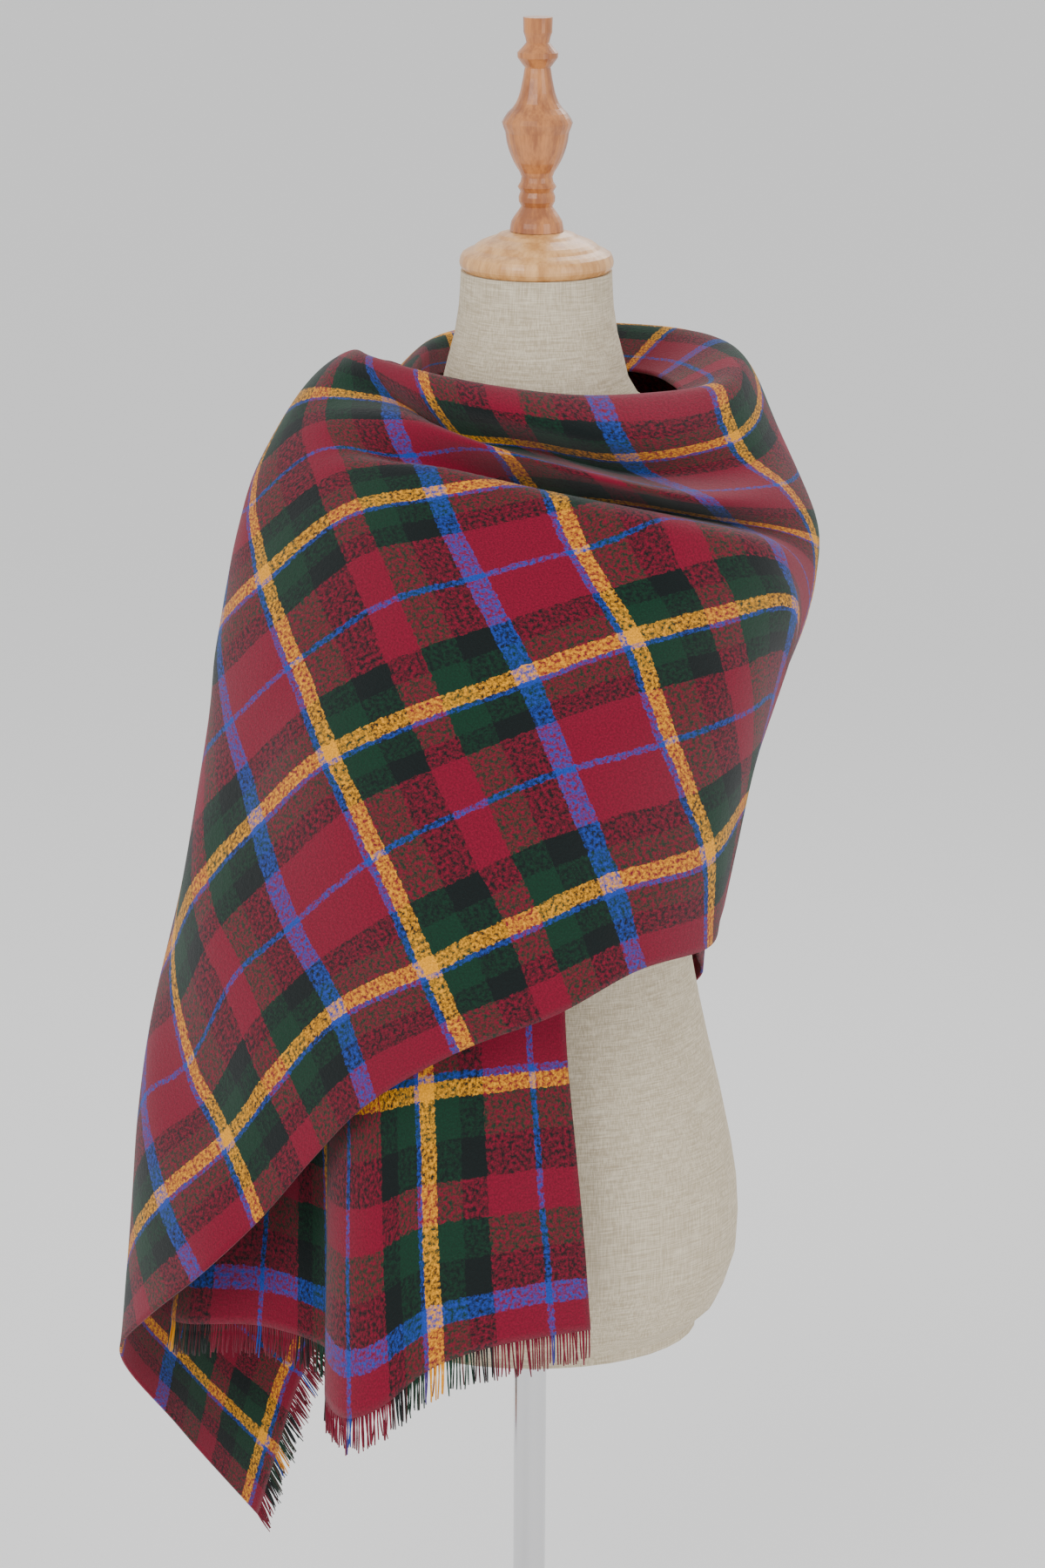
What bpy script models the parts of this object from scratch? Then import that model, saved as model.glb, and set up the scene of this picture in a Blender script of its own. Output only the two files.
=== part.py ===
"""A brushed-wool blanket scarf wound round a limbless dress form on a round steel stand.

The scarf is one long rectangle of cloth. It starts with a short end that hangs down the front at
the wearer's right, goes over that shoulder, stands behind the neck as a collar, comes over the
other shoulder, crosses the front in one wide slanting panel and is thrown over the wearer's right
shoulder again, so that its second end hangs down the back at that side.

Metres, +Z up, the front of the form towards -Y, the origin under the middle of the base.
"""

import math

import bmesh
import bpy
import numpy as np

CM = 0.01

# Stand and form, in metres.
POLE_RADIUS = 0.013
BASE_RADIUS = 0.165
BASE_THICKNESS = 0.010
BASE_EDGE_ROUND = 0.003
BOSS_RADIUS = 0.027
BOSS_HEIGHT = 0.035
TORSO_BOTTOM = 0.554
PART_GAP = 0.0003
SEAM_GAP = 0.0016
ROUND_STEPS = 40

# Cloth, in metres.
CLOTH_THICKNESS = 0.0022
CLOTH_LENGTH_STEP = 0.032
CROSS_STEPS_PER_COLUMN = 2
FRINGE_THICKNESS = 0.0016

# The form's rings: height, half width, reach to the front and to the back, all in cm, and how
# square the ring is (2 is an ellipse).
TORSO_RINGS = (
    (55.4, 4.0, 3.4, 3.4, 2.0),
    (55.8, 9.8, 6.9, 7.4, 2.0),
    (57.2, 13.0, 8.8, 9.8, 2.1),
    (60.4, 15.4, 10.0, 11.2, 2.1),
    (66.0, 16.3, 10.5, 11.6, 2.1),
    (72.0, 15.6, 10.3, 11.7, 2.1),
    (81.0, 13.55, 9.2, 9.9, 2.1),
    (87.0, 12.3, 8.4, 8.4, 2.1),
    (94.0, 11.5, 8.2, 7.6, 2.1),
    (102.0, 12.6, 9.4, 8.6, 2.1),
    (111.0, 14.2, 11.6, 10.0, 2.2),
    (118.0, 15.6, 11.0, 10.9, 2.3),
    (123.5, 17.4, 8.8, 10.4, 2.3),
    (126.3, 16.2, 7.4, 8.8, 2.2),
    (128.6, 11.4, 6.8, 7.4, 2.0),
    (131.0, 7.5, 6.7, 6.9, 2.0),
    (133.6, 6.4, 6.2, 6.2, 2.0),
    (137.4, 5.6, 5.6, 5.6, 2.0),
    (140.0, 5.45, 5.45, 5.45, 2.0),
)

# The wooden cap on the neck and the turned finial: height and radius in cm, going up.
CAP_OUTLINE = (
    (140.03, 5.25), (140.25, 5.45), (140.9, 5.5), (141.35, 5.2), (141.6, 4.6), (141.68, 4.5),
    (141.95, 4.2), (142.35, 3.2), (142.45, 2.9), (142.6, 2.75), (142.81, 2.0),
)
FINIAL_OUTLINE = (
    (142.84, 1.94), (143.6, 1.8), (144.2, 1.38), (144.6, 1.12), (145.1, 1.38), (145.6, 1.18),
    (145.95, 1.39), (146.5, 1.09), (146.9, 1.2), (147.6, 1.62), (148.4, 1.97), (149.2, 2.2),
    (149.9, 2.3), (150.5, 2.53), (150.8, 2.38), (151.2, 2.1), (151.6, 1.7), (152.3, 1.35),
    (153.2, 1.12), (153.9, 0.99), (154.5, 0.99), (154.75, 1.28), (155.2, 1.46), (155.6, 1.3),
    (155.75, 1.05), (156.8, 1.02), (157.8, 1.05),
)

# Cross sections of the scarf. Each row is one line straight across the cloth: its distance along
# the cloth, then a point for each column. The columns follow the folds from the neck edge to the
# lower edge. A point is its distance across the cloth and its place (x, y, z), all in cm.
SCARF_COLUMNS = ("edge", "lip", "roll", "crease", "crest", "tuck", "ridge", "chest", "middle",
                 "flank", "low", "hem")
SCARF_SECTIONS = {
    5.5: ((0, 4.5, -14.8, 63.0), (4.5, 0.5, -16.2, 63.0), (8.5, -3.4, -16.8, 62.4),
          (13.0, -7.6, -16.8, 60.6), (18.5, -11.2, -17.6, 57.8), (22.5, -14.0, -16.6, 56.4),
          (26.5, -15.6, -13.0, 56.6), (31.0, -15.4, -8.6, 57.8), (40.0, -21.0, -5.6, 58.4),
          (49.0, -28.4, -0.8, 56.4), (61.0, -26.0, 8.4, 56.2), (75.5, -15.6, 15.4, 56.4)),
    13.0: ((0, 3.9, -14.3, 70.7), (4.5, -0.1, -15.3, 70.7), (8.5, -3.9, -16.0, 70.3),
           (13.0, -8.0, -16.1, 69.5), (18.5, -11.6, -16.4, 67.2), (22.5, -14.0, -15.0, 66.2),
           (26.5, -15.4, -11.6, 66.2), (31.0, -15.4, -7.6, 66.6), (40.0, -20.4, -4.6, 67.0),
           (49.0, -27.0, -0.4, 66.0), (61.0, -24.6, 8.6, 65.8), (75.5, -14.0, 15.4, 65.8)),
    23.5: ((0, 2.7, -13.6, 83.0), (4.5, -1.0, -14.5, 83.0), (8.5, -4.4, -15.0, 82.8),
           (13.0, -8.3, -15.2, 82.2), (18.5, -11.8, -14.4, 81.0), (22.5, -13.8, -12.8, 80.4),
           (26.5, -15.2, -10.2, 80.0), (31.0, -15.8, -7.0, 79.8), (40.0, -19.6, -3.0, 79.6),
           (49.0, -24.6, 1.2, 78.6), (61.0, -22.4, 9.8, 78.0), (75.5, -12.2, 15.0, 77.2)),
    47.0: ((0, 0.6, -12.7, 107.0), (4.5, -3.0, -13.1, 107.0), (8.5, -6.2, -13.0, 106.8),
           (13.0, -9.8, -12.1, 106.4), (18.5, -13.6, -9.7, 105.8), (22.5, -16.0, -7.2, 105.2),
           (26.5, -17.8, -4.2, 104.6), (31.0, -19.0, -0.4, 104.0), (40.0, -19.2, 6.2, 102.6),
           (49.0, -18.0, 10.4, 100.0), (61.0, -15.6, 12.6, 92.0), (75.5, -11.0, 14.6, 83.0)),
    60.0: ((0, -4.4, -11.2, 120.0), (4.5, -7.2, -11.2, 119.8), (8.5, -10.0, -10.6, 119.6),
           (13.0, -13.2, -9.2, 119.0), (18.5, -16.8, -6.4, 118.0), (22.5, -18.7, -3.4, 117.0),
           (26.5, -19.6, 0.0, 115.8), (31.0, -19.6, 4.0, 114.0), (40.0, -17.2, 9.6, 109.4),
           (49.0, -15.2, 12.2, 102.0), (61.0, -11.6, 14.0, 92.8), (75.5, -6.4, 15.4, 81.6)),
    70.0: ((0, -7.0, -8.3, 127.4), (4.5, -9.2, -7.9, 127.4), (8.5, -11.6, -7.0, 127.0),
           (13.0, -14.4, -5.2, 126.4), (18.5, -17.4, -2.2, 125.6), (22.5, -18.9, 0.6, 123.2),
           (26.5, -19.3, 3.6, 120.4), (31.0, -18.9, 6.8, 116.6), (40.0, -16.4, 11.2, 109.0),
           (49.0, -12.6, 13.8, 101.0), (61.0, -8.0, 15.4, 90.8), (75.5, -3.8, 15.8, 79.8)),
    82.0: ((0, -8.8, 0.4, 131.2), (7.0, -8.9, 2.4, 132.4), (10.0, -10.2, 3.4, 131.2),
           (13.5, -12.8, 5.0, 128.8), (18.5, -15.8, 7.4, 125.4), (22.5, -17.4, 9.4, 122.2),
           (26.5, -17.2, 11.2, 118.4), (31.0, -16.2, 12.8, 114.2), (40.0, -13.4, 14.8, 106.0),
           (49.0, -10.2, 15.9, 97.8), (61.0, -6.0, 16.6, 87.4), (75.5, -1.0, 17.0, 76.0)),
    93.0: ((0, -6.0, 6.8, 131.2), (12.0, -6.7, 9.0, 133.6), (14.2, -8.0, 10.6, 132.6),
           (17.0, -9.4, 12.0, 130.2), (20.0, -10.3, 13.1, 127.4), (23.6, -10.8, 14.1, 124.0),
           (27.4, -10.8, 14.9, 120.4), (32.0, -10.2, 15.6, 116.0), (40.0, -8.8, 16.2, 108.4),
           (49.0, -6.8, 16.6, 99.8), (61.0, -4.4, 17.0, 88.2), (75.5, -1.2, 17.5, 74.4)),
    105.0: ((0, 0.0, 8.8, 131.2), (12.0, 0.4, 12.4, 133.9), (14.2, 0.2, 13.9, 132.8),
            (17.0, 0.0, 15.0, 130.4), (20.0, 0.0, 15.8, 127.6), (23.6, 0.2, 16.5, 124.1),
            (27.4, 0.5, 17.0, 120.4), (32.0, 1.0, 17.3, 115.9), (40.0, 1.8, 17.3, 108.0),
            (49.0, 2.6, 17.0, 99.1), (61.0, 3.4, 17.1, 87.4), (75.5, 4.0, 17.9, 73.8)),
    116.5: ((0, 6.8, 6.8, 131.4), (11.5, 10.0, 9.8, 134.0), (14.0, 11.2, 11.2, 132.8),
            (17.0, 12.2, 12.2, 130.4), (20.0, 12.9, 13.0, 127.4), (23.6, 13.2, 13.7, 123.8),
            (27.4, 13.2, 14.3, 120.2), (32.0, 12.9, 14.8, 115.8), (40.0, 12.2, 15.0, 108.2),
            (49.0, 11.6, 14.8, 99.6), (61.0, 11.2, 14.6, 88.6), (75.5, 11.0, 15.0, 77.2)),
    128.0: ((0, 9.6, 1.8, 131.6), (8.5, 14.0, 5.0, 133.4), (12.0, 15.8, 5.4, 132.2),
            (16.0, 17.2, 5.6, 129.2), (20.0, 18.2, 5.8, 126.2), (24.0, 18.8, 6.2, 122.6),
            (29.0, 18.8, 7.0, 118.6), (35.0, 18.2, 8.0, 114.0), (42.0, 17.2, 8.8, 108.4),
            (49.5, 16.2, 9.2, 102.2), (62.0, 15.2, 9.2, 93.0), (75.5, 14.8, 9.4, 84.0)),
    140.0: ((0, 9.4, -3.4, 131.2), (4.5, 12.6, -3.0, 132.2), (9.0, 13.4, -4.8, 130.2),
            (16.5, 15.0, -4.2, 127.1), (22.5, 18.0, -3.6, 124.8), (29.5, 20.2, -1.6, 121.2),
            (36.0, 20.7, 0.2, 117.6), (42.0, 20.2, 1.8, 113.4), (49.0, 18.6, 2.8, 108.2),
            (58.0, 16.9, 3.6, 102.0), (67.4, 15.3, 4.2, 96.4), (75.5, 14.4, 4.6, 91.6)),
    148.3: ((0, 3.4, -7.6, 130.6), (4.5, 3.9, -8.4, 132.6), (9.0, 5.2, -11.1, 130.2),
            (16.0, 7.4, -8.6, 127.0), (24.0, 11.5, -12.4, 126.2), (33.0, 14.0, -7.8, 123.2),
            (41.5, 16.6, -10.4, 122.6), (45.0, 17.5, -10.2, 120.6), (49.5, 18.6, -8.6, 117.4),
            (58.0, 17.6, -4.4, 109.8), (67.4, 15.9, -3.0, 101.2), (75.5, 14.5, -2.6, 93.2)),
    155.8: ((0, -2.6, -7.6, 131.4), (4.5, -2.8, -8.2, 133.2), (8.0, -2.1, -10.6, 131.6),
            (14.5, 0.2, -8.2, 128.4), (23.5, 4.8, -13.6, 127.8), (33.0, 7.2, -9.8, 124.8),
            (40.5, 9.6, -14.6, 125.1), (44.5, 11.0, -15.6, 122.0), (49.0, 12.7, -15.6, 118.8),
            (58.0, 14.8, -11.8, 110.6), (67.4, 15.3, -5.8, 101.4), (75.5, 13.9, -6.2, 92.6)),
    163.0: ((0, -7.4, -5.4, 132.0), (4.5, -8.2, -4.9, 133.6), (7.5, -7.6, -7.2, 132.2),
            (13.0, -5.2, -7.7, 129.2), (21.5, -2.4, -12.2, 129.4), (29.0, -0.2, -9.8, 126.0),
            (33.5, 1.3, -15.0, 127.0), (40.0, 2.9, -16.4, 123.4), (49.0, 6.6, -17.0, 117.5),
            (58.0, 9.3, -15.9, 109.9), (67.4, 12.5, -11.6, 99.9), (75.5, 12.9, -10.2, 91.9)),
    171.5: ((0, -10.6, -1.6, 131.9), (4.5, -12.0, 0.2, 133.6), (8.0, -12.0, -1.6, 133.0),
            (11.5, -10.7, -3.2, 131.2), (17.0, -10.4, -7.4, 130.7), (23.0, -8.8, -9.2, 127.6),
            (27.0, -7.9, -12.3, 128.2), (36.0, -5.8, -15.2, 124.0), (49.0, -0.9, -17.5, 114.8),
            (58.0, 1.8, -18.0, 108.3), (67.4, 5.2, -17.3, 99.4), (75.5, 7.3, -16.7, 92.5)),
    179.0: ((0, -11.9, 3.6, 132.4), (5.0, -13.3, 3.6, 133.4), (9.0, -14.8, 1.8, 132.6),
            (12.2, -15.8, 0.0, 130.9), (17.4, -16.2, -2.6, 129.1), (22.0, -15.4, -5.4, 127.7),
            (26.5, -14.5, -8.2, 126.3), (36.0, -12.2, -12.4, 121.6), (49.0, -7.8, -16.5, 111.8),
            (58.0, -4.9, -18.0, 105.4), (67.4, -1.0, -18.5, 96.9), (75.5, 1.6, -18.5, 89.8)),
    186.0: ((0, -11.4, 8.6, 131.6), (5.0, -13.6, 8.0, 132.2), (9.0, -15.9, 6.4, 131.4),
            (12.5, -18.0, 3.8, 129.3), (17.0, -20.2, 0.6, 125.4), (22.0, -20.6, -1.8, 122.8),
            (27.0, -20.1, -3.8, 120.6), (36.0, -18.2, -8.2, 115.8), (49.0, -14.4, -14.0, 108.1),
            (58.0, -11.1, -16.5, 101.6), (67.4, -7.4, -18.2, 93.5), (75.5, -4.7, -18.9, 87.4)),
    194.5: ((0, -10.0, 13.6, 130.2), (5.0, -12.2, 13.6, 130.0), (9.0, -14.6, 12.6, 129.2),
            (12.5, -17.0, 10.6, 127.2), (17.0, -19.6, 7.4, 124.2), (22.0, -21.6, 4.2, 120.4),
            (27.0, -22.6, 1.4, 117.0), (36.0, -23.1, -2.0, 109.6), (49.0, -20.4, -8.0, 101.0),
            (58.0, -17.7, -12.0, 94.4), (67.4, -14.2, -15.0, 88.8), (75.5, -11.9, -16.5, 82.0)),
    202.0: ((0, -5.2, 17.2, 127.6), (5.0, -7.8, 17.6, 127.6), (9.0, -10.6, 17.2, 126.6),
            (12.5, -12.6, 15.6, 125.2), (17.0, -16.4, 13.6, 122.0), (22.0, -19.6, 10.8, 118.4),
            (27.0, -22.0, 7.8, 114.6), (36.0, -24.4, 3.4, 106.6), (49.0, -25.3, -3.0, 94.1),
            (58.0, -22.4, -8.0, 88.6), (67.4, -19.0, -12.0, 82.3), (75.5, -16.1, -14.2, 76.6)),
    209.0: ((0, 0.8, 18.8, 123.8), (5.0, -2.2, 19.2, 122.8), (9.0, -5.2, 19.2, 121.0),
            (12.5, -8.2, 18.6, 119.0), (17.0, -12.0, 17.4, 116.2), (22.0, -16.0, 15.4, 113.0),
            (27.0, -19.6, 12.8, 109.4), (36.0, -24.4, 8.0, 101.6), (49.0, -27.6, 1.6, 88.2),
            (58.0, -26.0, -4.2, 80.6), (67.4, -22.6, -9.2, 76.2), (75.5, -20.2, -12.0, 70.7)),
    217.5: ((0, 4.2, 19.4, 117.0), (5.0, 1.4, 19.8, 115.4), (9.0, -1.4, 19.9, 113.4),
            (12.5, -4.2, 19.8, 111.2), (17.0, -8.0, 19.2, 108.4), (22.0, -12.2, 17.9, 105.2),
            (27.0, -16.6, 15.9, 101.8), (36.0, -23.6, 11.8, 95.0), (49.0, -29.2, 6.0, 82.6),
            (58.0, -30.2, 0.4, 75.4), (67.4, -28.4, -5.2, 69.4), (75.5, -25.2, -10.8, 65.2)),
    225.0: ((0, 6.6, 19.3, 110.6), (5.0, 4.0, 19.9, 108.6), (9.0, 1.4, 20.2, 106.4),
            (12.5, -1.2, 20.2, 104.2), (17.0, -4.8, 20.0, 101.2), (22.0, -9.0, 19.2, 98.0),
            (27.0, -13.4, 17.8, 94.6), (36.0, -21.2, 14.6, 87.6), (49.0, -28.6, 9.4, 76.0),
            (58.0, -31.2, 4.4, 68.8), (67.4, -31.4, -1.0, 63.4), (75.5, -30.0, -5.8, 59.0)),
    232.5: ((0, 8.6, 18.9, 104.0), (5.0, 6.2, 19.7, 101.8), (9.0, 3.8, 20.2, 99.4),
            (12.5, 1.4, 20.4, 97.0), (17.0, -2.0, 20.4, 94.0), (22.0, -6.0, 19.9, 90.6),
            (27.0, -10.2, 18.8, 87.2), (36.0, -18.0, 16.4, 80.0), (49.0, -26.4, 12.0, 69.0),
            (58.0, -30.4, 7.8, 62.0), (67.4, -32.2, 3.4, 56.6), (75.5, -32.8, 0.0, 53.2)),
    244.0: ((0, 10.4, 18.2, 94.0), (5.0, 8.2, 19.2, 91.4), (9.0, 6.0, 19.8, 88.8),
            (12.5, 3.8, 20.2, 86.4), (17.0, 0.8, 20.4, 83.2), (22.0, -2.8, 20.2, 79.4),
            (27.0, -6.6, 19.6, 75.8), (36.0, -13.8, 17.6, 68.6), (49.0, -22.2, 14.8, 58.4),
            (58.0, -26.4, 12.2, 51.8), (67.4, -28.2, 9.0, 47.0), (75.5, -28.9, 5.4, 43.4)),
    258.0: ((0, 11.6, 17.6, 82.0), (5.0, 9.8, 18.8, 79.2), (9.0, 8.0, 19.6, 76.6),
            (12.5, 6.2, 20.2, 74.0), (17.0, 3.6, 20.6, 70.6), (22.0, 0.4, 20.6, 66.8),
            (27.0, -2.8, 20.0, 63.2), (36.0, -8.8, 18.2, 56.6), (49.0, -15.8, 17.0, 48.8),
            (58.0, -19.4, 15.6, 43.0), (67.4, -21.6, 13.6, 36.6), (75.5, -23.2, 11.6, 31.6)),
}

# Deep pleats that fall inwards at the free lower part of the back. Each is centred at one distance
# along the cloth, and deepens from where it starts across the cloth down to the hem; all in cm.
PLEAT_COLUMNS = ("along", "starts_across", "half_width", "depth_at_hem")
PLEATS = (
    (56.0, 44.0, 4.0, 2.6),
    (76.0, 40.0, 4.2, 3.0),
    (97.0, 34.0, 4.6, 3.6),
    (115.0, 38.0, 4.2, 3.0),
    (129.0, 42.0, 3.6, 2.2),
)

# The stretches of the scarf that show, each from one distance along the cloth to another, in cm.
STRETCHES = (
    ("hanging_end", 5.5, 66.0),
    ("collar_and_back", 66.0, 134.0),
    ("front_cross", 134.0, 186.0),
    ("thrown_end", 186.0, 258.0),
)
FRINGE_REACH = 3.0
SCARF_WIDTH = 75.5
NORMAL_STEP = 0.1


def clear_scene():
    for obj in list(bpy.data.objects):
        bpy.data.objects.remove(obj, do_unlink=True)


def make_material(name, colour, roughness, metallic=0.0):
    material = bpy.data.materials.new(name)
    material.use_nodes = True
    shader = material.node_tree.nodes["Principled BSDF"]
    shader.inputs["Base Color"].default_value = (*colour, 1.0)
    shader.inputs["Roughness"].default_value = roughness
    shader.inputs["Metallic"].default_value = metallic
    return material


def add_mesh(name, vertices, faces, material):
    """One closed body from its vertices and faces, with its normals turned outwards."""
    mesh = bpy.data.meshes.new(name)
    mesh.from_pydata([tuple(float(c) for c in v) for v in vertices], [], faces)
    work = bmesh.new()
    work.from_mesh(mesh)
    bmesh.ops.recalc_face_normals(work, faces=work.faces)
    work.to_mesh(mesh)
    work.free()
    mesh.shade_smooth()
    mesh.set_sharp_from_angle(angle=math.radians(40))
    obj = bpy.data.objects.new(name, mesh)
    bpy.context.collection.objects.link(obj)
    mesh.materials.append(material)
    return obj


def smooth_rows(stations, rows, wanted):
    """Rows read at other stations, along one smooth curve through all the rows given."""
    stations = np.asarray(stations, float)
    rows = np.asarray(rows, float)
    slopes = np.empty_like(rows)
    steps = np.diff(stations)
    rates = np.diff(rows, axis=0) / steps.reshape((-1,) + (1,) * (rows.ndim - 1))
    slopes[0] = rates[0]
    slopes[-1] = rates[-1]
    for i in range(1, len(stations) - 1):
        before = steps[i - 1] / (steps[i - 1] + steps[i])
        slopes[i] = rates[i - 1] * (1 - before) + rates[i] * before
    result = []
    for value in wanted:
        i = int(np.clip(np.searchsorted(stations, value) - 1, 0, len(steps) - 1))
        t = (value - stations[i]) / steps[i]
        result.append(
            rows[i] * (2 * t**3 - 3 * t**2 + 1)
            + rows[i + 1] * (3 * t**2 - 2 * t**3)
            + slopes[i] * steps[i] * (t**3 - 2 * t**2 + t)
            + slopes[i + 1] * steps[i] * (t**3 - t**2)
        )
    return np.array(result)


def loft_rings(name, rings, material):
    """A closed skin over a stack of rings with the same number of points."""
    count = len(rings[0])
    vertices = [point for ring in rings for point in ring]
    faces = []
    for i in range(len(rings) - 1):
        for j in range(count):
            k = (j + 1) % count
            faces.append((i * count + j, i * count + k, (i + 1) * count + k, (i + 1) * count + j))
    faces.append(tuple(range(count))[::-1])
    faces.append(tuple((len(rings) - 1) * count + j for j in range(count)))
    return add_mesh(name, vertices, faces, material)


def turned(name, outline, material, steps=ROUND_STEPS):
    """A turned piece from its outline of (height, radius), going up."""
    angles = [2 * math.pi * j / steps for j in range(steps)]
    rings = [[(r * math.cos(a), r * math.sin(a), z) for a in angles] for z, r in outline]
    return loft_rings(name, rings, material)


def smooth_outline(table, step):
    """The outline of a turned piece in metres, smooth through the heights in its table."""
    heights = [row[0] for row in table]
    radii = [[row[1]] for row in table]
    count = max(2, round((heights[-1] - heights[0]) / step))
    wanted = np.linspace(heights[0], heights[-1], count + 1)
    return [(z * CM, r[0] * CM) for z, r in zip(wanted, smooth_rows(heights, radii, wanted))]


def build_stand(steel):
    rim = BASE_EDGE_ROUND
    corner = [
        (BASE_THICKNESS - rim + rim * math.sin(a), BASE_RADIUS - rim + rim * math.cos(a))
        for a in (math.radians(d) for d in (0, 30, 60, 90))
    ]
    turned("base_plate", [(0.0, BASE_RADIUS - rim / 2), (rim / 2, BASE_RADIUS)] + corner, steel)
    boss_foot = BASE_THICKNESS + PART_GAP
    turned(
        "pole_boss",
        [(boss_foot, BOSS_RADIUS), (boss_foot + 0.006, BOSS_RADIUS),
         (boss_foot + BOSS_HEIGHT - 0.004, BOSS_RADIUS * 0.78),
         (boss_foot + BOSS_HEIGHT, BOSS_RADIUS * 0.68)],
        steel,
    )
    pole_foot = boss_foot + BOSS_HEIGHT + PART_GAP
    turned("pole", [(pole_foot, POLE_RADIUS), (TORSO_BOTTOM - PART_GAP, POLE_RADIUS)], steel)


def torso_ring(height, half_width, front, back, square):
    points = []
    for j in range(ROUND_STEPS):
        angle = 2 * math.pi * j / ROUND_STEPS
        c, s = math.cos(angle), math.sin(angle)
        x = half_width * math.copysign(abs(c) ** (2 / square), c)
        reach = back if s > 0 else front
        points.append((x * CM, reach * math.copysign(abs(s) ** (2 / square), s) * CM, height * CM))
    return points


def build_torso(linen):
    heights = [row[0] for row in TORSO_RINGS]
    shapes = [row[1:] for row in TORSO_RINGS]
    wanted = sorted(set(heights) | {(a + b) / 2 for a, b in zip(heights, heights[1:])})
    rings = [torso_ring(z, *row) for z, row in zip(wanted, smooth_rows(heights, shapes, wanted))]
    loft_rings("torso", rings, linen)


def pleat_depths(along, across):
    """How far in cm the pleats take the cloth towards the pole at a place on the flat cloth."""
    depth = np.zeros(np.broadcast(along, across).shape)
    for middle, start, half_width, at_hem in PLEATS:
        fall = np.clip((across - start) / (SCARF_WIDTH - start), 0.0, 1.0)
        depth += at_hem * fall * np.exp(-(((along - middle) / half_width) ** 2))
    return depth


def scarf_grid(starts, pitch=CROSS_STEPS_PER_COLUMN):
    """Points of the scarf's middle surface at each distance along the cloth, in cm."""
    stations = sorted(SCARF_SECTIONS)
    table = [SCARF_SECTIONS[s] for s in stations]
    sections = smooth_rows(stations, table, starts)
    columns = range(len(SCARF_COLUMNS))
    wanted = np.linspace(0, len(SCARF_COLUMNS) - 1, (len(SCARF_COLUMNS) - 1) * pitch + 1)
    lines = np.array([smooth_rows(columns, section, wanted) for section in sections])
    sunk = pleat_depths(np.asarray(starts, float)[:, None], lines[:, :, 0])
    inward = lines[:, :, 1:3] / np.linalg.norm(lines[:, :, 1:3], axis=2, keepdims=True)
    lines[:, :, 1:3] -= inward * sunk[:, :, None]
    return lines[:, :, 1:]


def surface_normals(before, points, after):
    """Unit normals of a grid of points, from the same grid a little before and after it."""
    normals = np.cross(after - before, np.gradient(points, axis=1))
    return normals / np.linalg.norm(normals, axis=2, keepdims=True)


def cloth_wall(name, points, normals, thickness, material):
    """A closed wall of cloth, half its thickness to each side of a grid of points in metres."""
    rows, columns = points.shape[:2]
    offset = normals * thickness / 2
    vertices = list((points + offset).reshape(-1, 3)) + list((points - offset).reshape(-1, 3))
    under = rows * columns

    def at(i, j):
        return i * columns + j

    faces = []
    for i in range(rows - 1):
        for j in range(columns - 1):
            quad = (at(i, j), at(i + 1, j), at(i + 1, j + 1), at(i, j + 1))
            faces.append(quad)
            faces.append(tuple(under + v for v in reversed(quad)))
    border = (
        [at(i, 0) for i in range(rows)]
        + [at(rows - 1, j) for j in range(1, columns)]
        + [at(i, columns - 1) for i in range(rows - 2, -1, -1)]
        + [at(0, j) for j in range(columns - 2, 0, -1)]
    )
    for a, b in zip(border, border[1:] + border[:1]):
        faces.append((a, b, b + under, a + under))
    return add_mesh(name, vertices, faces, material)


def build_scarf(wool, yarn):
    half_gap = SEAM_GAP / 2 / CM
    first, last = STRETCHES[0][1], STRETCHES[-1][2]
    for name, start, stop in STRETCHES:
        start += half_gap if start > first else 0.0
        stop -= half_gap if stop < last else 0.0
        steps = round((stop - start) * CM / CLOTH_LENGTH_STEP)
        stations = np.linspace(start, stop, steps + 1)
        grid, before, after = (scarf_grid(stations + d) for d in (0.0, -NORMAL_STEP, NORMAL_STEP))
        cloth_wall(name, grid * CM, surface_normals(before, grid, after), CLOTH_THICKNESS, wool)
    for name, edge, outward in (("fringe_front", first, -1.0), ("fringe_tail", last, 1.0)):
        grid = scarf_grid([edge, edge - outward]) * CM
        pull = grid[0] - grid[1]
        pull /= np.linalg.norm(pull, axis=1, keepdims=True)
        hung = pull * 0.4 + np.array([0.0, 0.0, -0.6])
        hung /= np.linalg.norm(hung, axis=1, keepdims=True)
        root = grid[0] + pull * PART_GAP
        tip = root + hung * FRINGE_REACH * CM
        strip = np.array([root, (root + tip) / 2, tip])
        normals = surface_normals(strip[:1], strip, strip[-1:])
        cloth_wall(name, strip, normals, FRINGE_THICKNESS, yarn)


def main():
    clear_scene()
    steel = make_material("polished_steel", (0.62, 0.62, 0.63), 0.12, 1.0)
    linen = make_material("natural_linen", (0.55, 0.48, 0.36), 0.85)
    pale_wood = make_material("pale_turned_wood", (0.62, 0.33, 0.12), 0.4)
    warm_wood = make_material("warm_turned_wood", (0.45, 0.17, 0.05), 0.4)
    wool = make_material("brushed_wool", (0.21, 0.02, 0.06), 0.95)
    yarn = make_material("wool_fringe", (0.19, 0.02, 0.05), 0.95)
    build_stand(steel)
    build_torso(linen)
    turned("neck_cap", smooth_outline(CAP_OUTLINE, 0.2), pale_wood)
    turned("finial", smooth_outline(FINIAL_OUTLINE, 0.35), warm_wood, steps=24)
    build_scarf(wool, yarn)


main()
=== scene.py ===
"""The looks of a brushed-wool blanket scarf wound round a linen dress form on a steel stand."""

import math

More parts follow.
